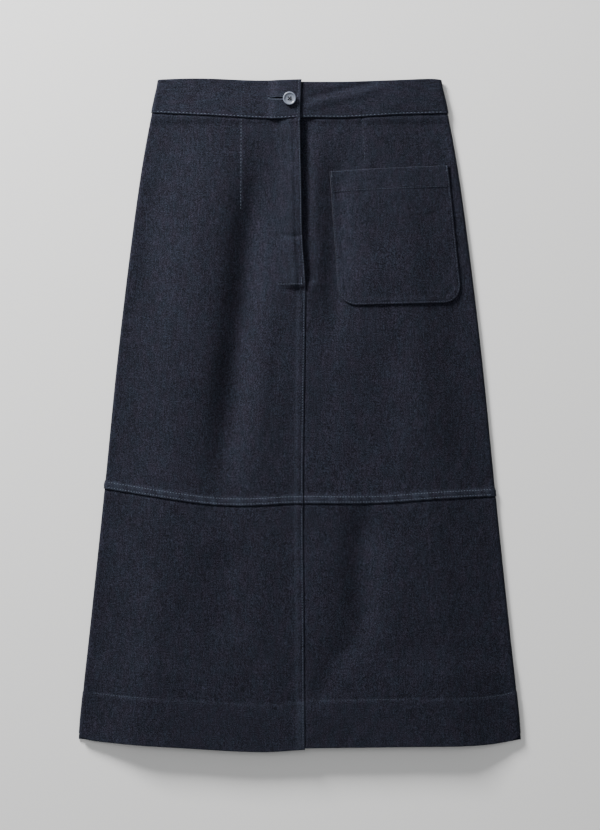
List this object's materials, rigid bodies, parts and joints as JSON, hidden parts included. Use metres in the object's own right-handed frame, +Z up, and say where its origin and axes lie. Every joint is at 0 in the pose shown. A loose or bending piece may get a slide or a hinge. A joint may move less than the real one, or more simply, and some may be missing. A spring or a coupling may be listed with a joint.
{
  "type": "denim skirt",
  "caption": "A-line denim midi skirt laid flat, with a buttoned fly waistband, patch pocket, curved tier seam and deep hem.",
  "frame": {"origin": "centre of the skirt's box in plan, on the surface that it lies on", "axes": "+X to the right across the front, as seen from above with the waist up; +Y towards the waist; +Z up from the surface"},
  "size_m": [0.5569, 0.8455, 0.0215],
  "materials": {
    "denim": "dark indigo twill, unwashed",
    "button": "satin, grey blue",
    "thread": "dark sewing thread"
  },
  "bodies": {
    "root": {"front_upper_left": "denim", "front_upper_right": "denim", "front_lower_left": "denim", "front_lower_right": "denim", "back_upper": "denim", "back_lower": "denim", "waistband_front_left": "denim", "waistband_front_right": "denim", "waistband_back": "denim", "pocket": "denim", "button": "button", "button_thread": "thread"}
  },
  "joints": []
}
